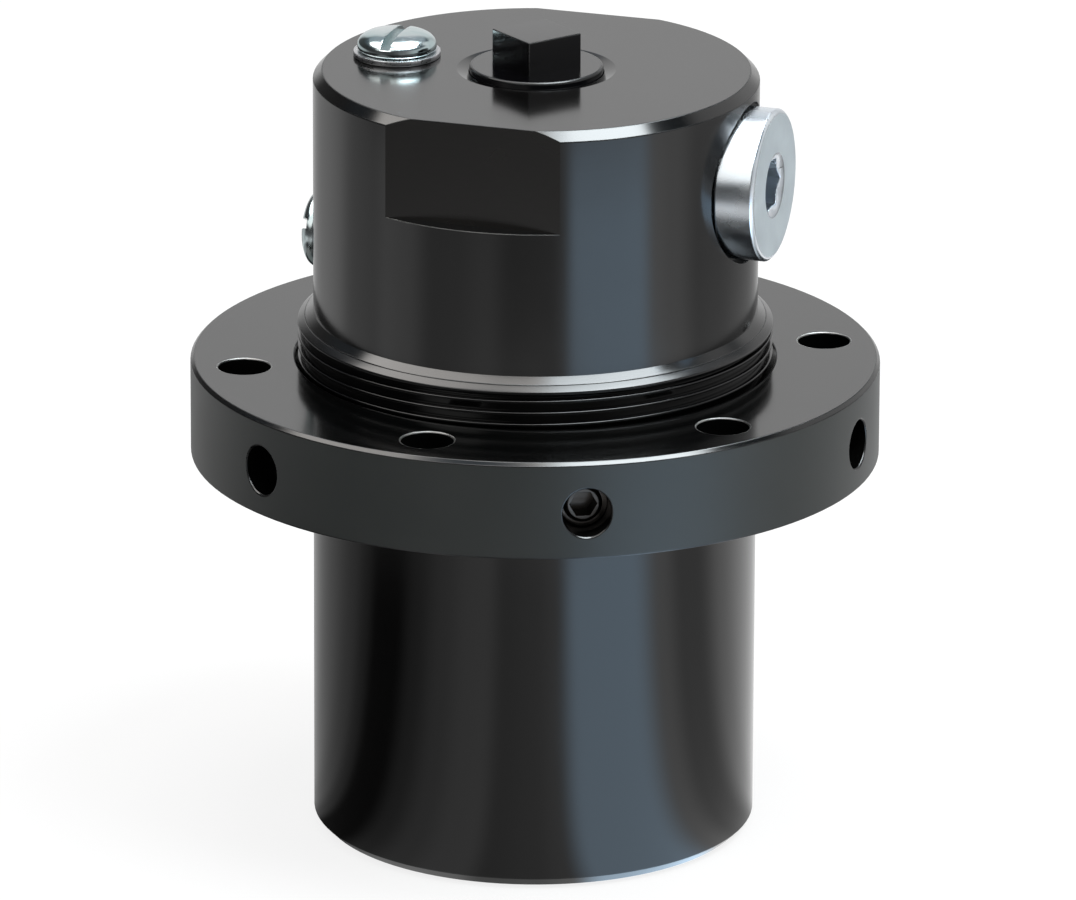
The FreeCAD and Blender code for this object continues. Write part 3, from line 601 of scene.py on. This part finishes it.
def thread_shoulder():
    """The cone that ends the thread above: the CAD cone stops at the root, this one goes to the crest."""
    collar = turned_piece("body_thread_shoulder", [
        (28.9, 66.5), (29.08, 66.817), (29.98, 66.165), (29.98, 65.85), (29.0, 65.3)], sides=240, ring=True)
    take(collar)
    bpy.ops.object.mode_set(mode="EDIT")
    bpy.ops.mesh.select_all(action="SELECT")
    bpy.ops.mesh.region_to_loop()
    bpy.ops.mesh.bridge_edge_loops()
    bpy.ops.object.mode_set(mode="OBJECT")
    face_outward(collar)
    paint(collar, "shoulder")
    break_edges(collar, 0.12)
    keep_flat(collar)
    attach(collar, "cylinder")


body_thread("body_thread_above_ring", low=61.1, high=66.1, first=59.15)
body_thread("body_thread_below_ring", low=46.5, high=48.9, first=44.15)
thread_shoulder()


# Port plug

def hexagon_cutter(across, low, high):
    """A hexagonal bar for cutting a socket, with its size across flats."""
    clear_selection()
    bpy.ops.mesh.primitive_cylinder_add(vertices=6, radius=across / math.sqrt(3) * MM,
                                        depth=(high - low) * MM, location=(0, 0, (low + high) / 2 * MM))
    return named("hexagon_cutter")


def port_plug():
    """Collar plug: turned collar and face, threaded shank, hexagon socket with a lead-in."""
    face = 5.2
    plug = turned_piece("port_plug_turned", [
        (4.9, -11.0), (5.75, -10.3), (5.75, 1.2), (8.58, 1.2), (8.58, 0.05), (9.4, 0.05), (9.6, 0.3),
        (9.6, face - 0.42), (9.3, face - 0.1), (9.0, face)], sides=160)
    cut_away(plug, hexagon_cutter(6.0, face - 6.5, face + 1))
    cut_away(plug, turned_piece("lead_in_cutter", [(3.05, face - 0.55), (4.15, face), (4.75, face + 0.3)]))
    break_edges(plug, 0.09)
    keep_flat(plug)
    thread = helical_ridge("port_plug_thread", crest=6.5, root=5.7, pitch=1.337,
                           low=-10.2, high=-0.5, first=-11.6, steps=96, rounding=0.08)
    join_pieces(plug, thread)
    move_into_place(plug, PLUG_PLACE, TO_PORT)
    paint(plug, "plug")
    front = PLUG_PLACE.x + face - 0.3
    finish_faces(plug, "plug_face", lambda middle, normal: normal.x > 0.999 and middle.x > front)
    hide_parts("port_plug")
    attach(plug, "port_plug")


port_plug()


# Bleed screws

def bleed_screw(name, finish, slot_turn):
    """Slotted pan-head screw, upright, with the seat of its ring at the origin; low is under its head."""
    low = 0.74
    head_height = 2.4
    slot_depth = 1.2
    slot_width = 1.25
    screw = turned_piece(name, [
        (1.5, -8.0), (2.05, -7.45), (2.05, low), (4.72, low), (5.0, low + 0.26), (5.0, low + 0.78),
        (4.93, low + 1.12), (4.72, low + 1.47), (4.36, low + 1.80), (3.84, low + 2.07), (3.15, low + 2.26),
        (2.3, low + 2.36), (1.2, low + head_height)], sides=128)
    clear_selection()
    bpy.ops.mesh.primitive_cube_add(size=1, location=(0, 0, (low + head_height - slot_depth + 1) * MM),
                                    rotation=(0, 0, math.radians(slot_turn)),
                                    scale=(slot_width * MM, 14 * MM, 2 * MM))
    cut_away(screw, named("slot_cutter"))
    break_edges(screw, 0.11, angle=32)
    keep_flat(screw)
    thread = helical_ridge(name + "_thread", crest=2.48, root=2.02, pitch=0.8,
                           low=-7.4, high=0.2, first=-8.2, steps=64, rounding=0.05)
    join_pieces(screw, thread)
    paint(screw, finish)
    return screw


top_screw = bleed_screw("top_bleed_screw_turned", "top_screw", 0)
move_into_place(top_screw, TOP_BLEED)
side_screw = bleed_screw("side_bleed_screw_turned", "side_screw", 22)
move_into_place(side_screw, SIDE_BLEED, TO_SIDE_BLEED)
for screw, node in ((top_screw, "top_bleed_screw"), (side_screw, "side_bleed_screw")):
    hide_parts(node)
    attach(screw, node)


# Lock screw of the flange ring

def lock_screw():
    """Grey set screw deep in the front radial hole: thread, flat point, hexagon socket."""
    length = LOCK_LENGTH
    screw = turned_piece("flange_lock_screw_turned", [
        (1.6, 0.0), (2.45, 0.5), (2.45, length - 0.55), (2.3, length - 0.25), (1.95, length)])
    cut_away(screw, hexagon_cutter(3.0, length - 2.5, length + 1))
    break_edges(screw, 0.06)
    keep_flat(screw)
    thread = helical_ridge("flange_lock_screw_thread", crest=2.98, root=2.42, pitch=1.0,
                           low=0.35, high=length - 0.35, first=-0.6, steps=72, rounding=0.07)
    join_pieces(screw, thread)
    place = (LOCK_TIP * math.cos(LOCK_TURN), LOCK_TIP * math.sin(LOCK_TURN), LOCK_MIDDLE.z)
    move_into_place(screw, place, (0, math.radians(90), LOCK_TURN))
    paint(screw, "set_screw")
    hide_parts("flange_lock_screw")
    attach(screw, "lock_screw")


lock_screw()


# Disc springs

def disc_spring_stack():
    """Fourteen disc springs, alternately turned over."""
    inner = 10.2
    outer = 20.0
    thickness = 2.25
    rise = 0.73
    gap = 0.0189
    disc_count = 14
    discs = []
    for count, (bore_rise, rim_rise) in enumerate(((rise, 0), (0, rise))):
        disc = turned_piece("disc_spring_%d" % count, [
            (inner, bore_rise), (outer, rim_rise), (outer, rim_rise + thickness),
            (inner, bore_rise + thickness), (inner, bore_rise)], ring=True)
        break_edges(disc, 0.35, angle=40, segments=3)
        keep_flat(disc)
        discs.append(disc)
    stack = []
    for count in range(disc_count):
        disc = copy_of(discs[count % 2], "disc_spring_copy_%d" % count)
        move_into_place(disc, (0, 0, SPRING_FLOOR + (thickness + rise + gap) * count))
        stack.append(disc)
    for disc in discs:
        bpy.data.objects.remove(disc)
    springs = join_pieces(*stack)
    springs.name = "disc_spring_stack"
    springs.data.name = springs.name
    paint(springs, "spring")
    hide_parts("disc_springs")
    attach(springs, "cylinder")
    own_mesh(springs)


disc_spring_stack()


# Camera

VIEW_PLACE = Vector((421.9, -1312.6, 512.5))
VIEW_TARGET = Vector((0.377, 0.121, 49.38))
VIEW_ROLL = 0.00433

camera_data = bpy.data.cameras.new("photo_camera")
camera = bpy.data.objects.new("photo_camera", camera_data)
bpy.context.scene.collection.objects.link(camera)
gaze = (VIEW_TARGET - VIEW_PLACE).to_track_quat("-Z", "Y").to_matrix().to_4x4()
camera.matrix_world = Matrix.Translation(VIEW_PLACE * MM) @ gaze @ Matrix.Rotation(VIEW_ROLL, 4, "Z")
camera_data.sensor_width = 36
camera_data.lens = 384.69
camera_data.shift_y = -0.00523
camera_data.clip_start = 0.05
camera_data.clip_end = 20
bpy.context.scene.camera = camera


# Studio

VIEW_AZIMUTH = math.atan2(VIEW_PLACE.y, VIEW_PLACE.x)
AIM = Vector((0, 0, 0.06))

# How strongly the painted reflections shine, which the floor and the world show to mirrored rays only.
# The stops of the bands are radiances that come out as written; the colours of the world's painted patches,
# dark ceiling and overhead panel are multiplied by it.
PAINTED_REFLECTION_STRENGTH = 4.0


def studio_place(azimuth, distance, height):
    """A place round the object: azimuth in degrees to the right of the camera, seen from above."""
    angle = VIEW_AZIMUTH + math.radians(azimuth)
    return Vector((distance * math.cos(angle), distance * math.sin(angle), height))


def softbox(name, azimuth, distance, height, width, depth, radiance, colour):
    """A rectangular lamp that looks at the object's middle."""
    lamp = bpy.data.lights.new(name, "AREA")
    lamp.shape = "RECTANGLE"
    lamp.size = width
    lamp.size_y = depth
    lamp.energy = radiance * math.pi * width * depth
    lamp.color = colour
    stand = bpy.data.objects.new(name, lamp)
    bpy.context.scene.collection.objects.link(stand)
    stand.location = studio_place(azimuth, distance, height)
    aim = AIM - stand.location
    stand.rotation_euler = aim.to_track_quat("-Z", "Y").to_euler()
    return stand


# Azimuth, distance, height, width, depth in degrees and metres, then radiance and colour
softbox("window_softbox", 58, 0.55, 1.05, 0.62, 0.5, 7.0, (0.93, 0.98, 1.0))
overhead = softbox("overhead_softbox", -20, 0.1, 1.5, 0.5, 0.5, 4.0, (1.0, 0.99, 0.97))
overhead.visible_glossy = False


def bearing(tree, vector):
    """Angle round the object from 0 to 1, with the middle at the camera's side."""
    split = add(tree, "ShaderNodeSeparateXYZ")
    join(tree, vector, split.inputs["Vector"])
    angle = add(tree, "ShaderNodeMath", operation="ARCTAN2")
    join(tree, split.outputs["Y"], angle.inputs[0])
    join(tree, split.outputs["X"], angle.inputs[1])
    turn = add(tree, "ShaderNodeMath", operation="MULTIPLY_ADD")
    turn.inputs[1].default_value = 1 / math.tau
    turn.inputs[2].default_value = 0.5 - VIEW_AZIMUTH / math.tau + 1
    join(tree, angle.outputs["Value"], turn.inputs[0])
    wrap = add(tree, "ShaderNodeMath", operation="FRACT")
    join(tree, turn.outputs["Value"], wrap.inputs[0])
    return wrap.outputs["Value"], split


def soft_step(tree, value, low, high):
    """From 0 to 1 as a value goes from low to high."""
    step = add(tree, "ShaderNodeMapRange", interpolation_type="SMOOTHSTEP")
    step.inputs["From Min"].default_value = low
    step.inputs["From Max"].default_value = high
    join(tree, value, step.inputs["Value"])
    return step.outputs["Result"]


def blend_shaders(tree, amount, first, second):
    """The first shader where the amount is 0, the second where it is 1."""
    blend = add(tree, "ShaderNodeMixShader")
    join(tree, amount, blend.inputs["Fac"])
    join(tree, first, blend.inputs[1])
    join(tree, second, blend.inputs[2])
    return blend.outputs["Shader"]


def by_ray(tree, plain, seen, reflected):
    """One shader for light that falls on things, one that the camera sees and one that is mirrored."""
    ray = add(tree, "ShaderNodeLightPath")
    shiny = add(tree, "ShaderNodeMath", operation="MAXIMUM")
    join(tree, ray.outputs["Is Glossy Ray"], shiny.inputs[0])
    join(tree, ray.outputs["Is Transmission Ray"], shiny.inputs[1])
    lit = blend_shaders(tree, ray.outputs["Is Camera Ray"], plain, seen)
    return blend_shaders(tree, shiny.outputs["Value"], lit, reflected)


def glowing(tree, kind, strength, colour=(1, 1, 1)):
    """An emission or background shader of one strength; the colour is plain or a socket."""
    glow = add(tree, kind)
    glow.inputs["Strength"].default_value = strength
    if isinstance(colour, tuple):
        glow.inputs["Color"].default_value = (*colour, 1)
    else:
        join(tree, colour, glow.inputs["Color"])
    return glow.outputs[0]


def painted_bands(tree, position, stops):
    """Painted reflections round the object, bands of painted light and shade: each stop is degrees from the
    camera and a colour.
    """
    ramp = add(tree, "ShaderNodeValToRGB")
    ramp.color_ramp.interpolation = "EASE"
    elements = ramp.color_ramp.elements
    while len(elements) > 1:
        elements.remove(elements[0])
    elements[0].position = 0.0
    for count, (degrees, level) in enumerate(stops):
        place = (degrees + 180) / 360
        element = elements.new(place) if count else elements[0]
        element.position = place
        colour = level if isinstance(level, tuple) else (level, level, level)
        element.color = (*[value / PAINTED_REFLECTION_STRENGTH for value in colour], 1)
    join(tree, position, ramp.inputs["Fac"])
    return ramp.outputs["Color"]


# Painted reflections on the floor, seen by mirrored rays only: the bright stops stand for a window and lamps,
# and the dark stops, such as -81 to -68 degrees near the object, are a painted shadow of the object.
PAINTED_WINDOW_REFLECTION = (1.8, 2.35, 2.9)
NEAR_GROUND = [(-180, 0.8), (-150, 0.52), (-118, 0.42), (-98, 0.30), (-88, 0.16), (-81, 0.03), (-68, 0.03),
               (-57, 0.2), (-43, 0.46), (-30, 0.66), (-22, 0.7), (-14, 0.42), (0, 0.5), (10, 0.65),
               (20, PAINTED_WINDOW_REFLECTION), (47, PAINTED_WINDOW_REFLECTION), (62, 1.1), (76, 0.58), (86, 0.52), (103, 0.93), (120, 1.05),
               (180, 0.8)]
MIDDLE_GROUND = [(-180, 1.0), (-100, 0.8), (-60, 0.68), (-48, 0.6), (-33, 0.95), (-15, 1.2), (0, 1.55),
                 (10, 1.3), (20, 1.1), (30, PAINTED_WINDOW_REFLECTION), (58, PAINTED_WINDOW_REFLECTION), (75, 1.5), (90, 1.15), (110, 1.2),
                 (180, 1.0)]
HORIZON = [(-180, 0.8), (-110, 0.6), (-80, 0.12), (-12, 0.12), (20, 0.7), (60, 1.0), (110, 0.6), (180, 0.8)]
FAR_GROUND = [(-180, 0.8), (-149, 0.5), (-118, 0.78), (-105, 0.58), (-90, 0.62), (-78, 0.88), (-66, 0.85),
              (-52, 0.47), (-40, 0.5), (-24, 0.64), (-12, 0.38), (8, 0.4), (13, 0.6), (20, PAINTED_WINDOW_REFLECTION),
              (52, PAINTED_WINDOW_REFLECTION), (62, 1.3), (72, 1.08), (90, 0.54), (110, 0.45), (135, 0.42), (180, 0.8)]

# Distances from the middle, in metres, over which the ground changes to the next ring of painted reflection
# bands
GROUND_RINGS = [(0.172, 0.186, MIDDLE_GROUND), (0.205, 0.225, FAR_GROUND), (0.335, 0.37, HORIZON)]


def make_floor():
    """A pale floor that keeps a soft shadow; to mirrored rays it glows with painted reflections, bands of
    painted light and painted shadow laid round the object.
    """
    clear_selection()
    bpy.ops.mesh.primitive_circle_add(vertices=128, radius=3.0, fill_type="NGON", location=(0, 0, -0.0002))
    floor = named("studio_floor")
    finish, tree, shader = new_finish("pale_floor")
    tree.nodes.remove(shader)
    position, split = bearing(tree, add(tree, "ShaderNodeTexCoord").outputs["Object"])
    away = axis_distance(tree, split)
    painted_reflections = painted_bands(tree, position, NEAR_GROUND)
    for start, end, ground in GROUND_RINGS:
        painted_reflections = mix_colours(tree, soft_step(tree, away, start, end), painted_reflections, painted_bands(tree, position, ground))
    matt = add(tree, "ShaderNodeBsdfDiffuse")
    matt.inputs["Color"].default_value = (0.24, 0.24, 0.24, 1)
    seen = add(tree, "ShaderNodeAddShader")
    join(tree, matt.outputs["BSDF"], seen.inputs[0])
    join(tree, glowing(tree, "ShaderNodeEmission", 0.82), seen.inputs[1])
    whole = by_ray(tree, matt.outputs["BSDF"], seen.outputs["Shader"],
                   glowing(tree, "ShaderNodeEmission", PAINTED_REFLECTION_STRENGTH, painted_reflections))
    join(tree, whole, tree.nodes["Material Output"].inputs["Surface"])
    floor.data.materials.append(finish)


# The world's painted reflections, seen by mirrored rays only: the ceiling bands, a dark ceiling of painted
# shade and a soft and a bright overhead panel of painted light.
CEILING = [(-180, 0.98), (-165, 0.98), (-150, 0.1), (-100, 0.05), (-20, 0.06), (20, 0.2), (60, 0.7),
           (100, 0.9), (140, 0.9), (152, 0.7), (165, 0.98), (180, 0.98)]
DARK_CEILING = (0.030, 0.035, 0.040)
SOFT_OVERHEAD = (1.55, 1.50, 1.45)
BRIGHT_OVERHEAD = (3.5, 3.8, 3.95)

# Round painted patches of light and shade, seen in reflections only: azimuth from the camera's side, rise and
# half width in degrees, and colour
PAINTED_PATCHES = [(180, 62, 34, (0.12, 0.13, 0.14)), (-42, 36, 23, (0.40, 0.40, 0.39)),
         (122, 34, 15, (0.24, 0.24, 0.24))]
HIGH_PAINTED_PATCHES = [(-42, 46, 14, (0.40, 0.40, 0.39)), (-42, 71, 14, (0.15, 0.18, 0.21))]

# Edges of the world's parts, as how far a direction points up, right or to the camera
CEILING_EDGE = (0.42, 0.56)
BRIGHT_EDGE = (0.0, 0.12)
PANEL_EDGE = (0.735, 0.775)
PANEL_BACK = (-0.52, -0.40)
PANEL_LEAN = 0.134


def along(tree, direction, axis):
    """How far a direction points along an axis."""
    side = add(tree, "ShaderNodeVectorMath", operation="DOT_PRODUCT")
    side.inputs[1].default_value = axis
    join(tree, direction, side.inputs[0])
    return side.outputs["Value"]


def surround_direction(azimuth, rise):
    """A direction round the object, such as the middle of a painted patch: its azimuth from the camera's side
    and its rise, both in degrees.
    """
    turn = VIEW_AZIMUTH + math.radians(azimuth)
    rise = math.radians(rise)
    return Vector((math.cos(rise) * math.cos(turn), math.cos(rise) * math.sin(turn), math.sin(rise)))


def lay_painted_patches(tree, direction, surround, painted_reflections):
    """Lay round soft-edged painted patches of light and shade over the surroundings, one after the other."""
    for azimuth, rise, width, colour in painted_reflections:
        edge = math.cos(math.radians(width))
        inside = soft_step(tree, along(tree, direction, surround_direction(azimuth, rise)), edge - 0.01, edge + 0.03)
        surround = mix_colours(tree, inside, surround, colour)
    return surround


def make_world():
    """White behind the object; for reflections only, painted patches, a dark ceiling of painted shade and one
    bright panel of painted light overhead.
    """
    world = bpy.data.worlds.new("studio_surround")
    bpy.context.scene.world = world
    world.use_nodes = True
    tree = world.node_tree
    tree.nodes.clear()
    output = add(tree, "ShaderNodeOutputWorld")
    direction = add(tree, "ShaderNodeTexCoord").outputs["Generated"]
    position, split = bearing(tree, direction)
    surround = mix_colours(tree, soft_step(tree, split.outputs["Z"], *CEILING_EDGE),
                           painted_bands(tree, position, CEILING), DARK_CEILING)
    surround = lay_painted_patches(tree, direction, surround, PAINTED_PATCHES)
    right = surround_direction(90, 0)
    up = Vector((0, 0, 1)) - PANEL_LEAN * right
    panel = mix_colours(tree, soft_step(tree, along(tree, direction, right), *BRIGHT_EDGE),
                        SOFT_OVERHEAD, BRIGHT_OVERHEAD)
    over = soft_step(tree, along(tree, direction, up), *PANEL_EDGE)
    front = soft_step(tree, along(tree, direction, surround_direction(0, 0)), *PANEL_BACK)
    both = add(tree, "ShaderNodeMath", operation="MULTIPLY")
    join(tree, over, both.inputs[0])
    join(tree, front, both.inputs[1])
    surround = mix_colours(tree, both.outputs["Value"], surround, panel)
    surround = lay_painted_patches(tree, direction, surround, HIGH_PAINTED_PATCHES)
    kind = "ShaderNodeBackground"
    whole = by_ray(tree, glowing(tree, kind, 0.55), glowing(tree, kind, 1.0),
                   glowing(tree, kind, PAINTED_REFLECTION_STRENGTH, surround))
    join(tree, whole, output.inputs["Surface"])


make_floor()
make_world()
bpy.context.scene.view_settings.view_transform = "Standard"
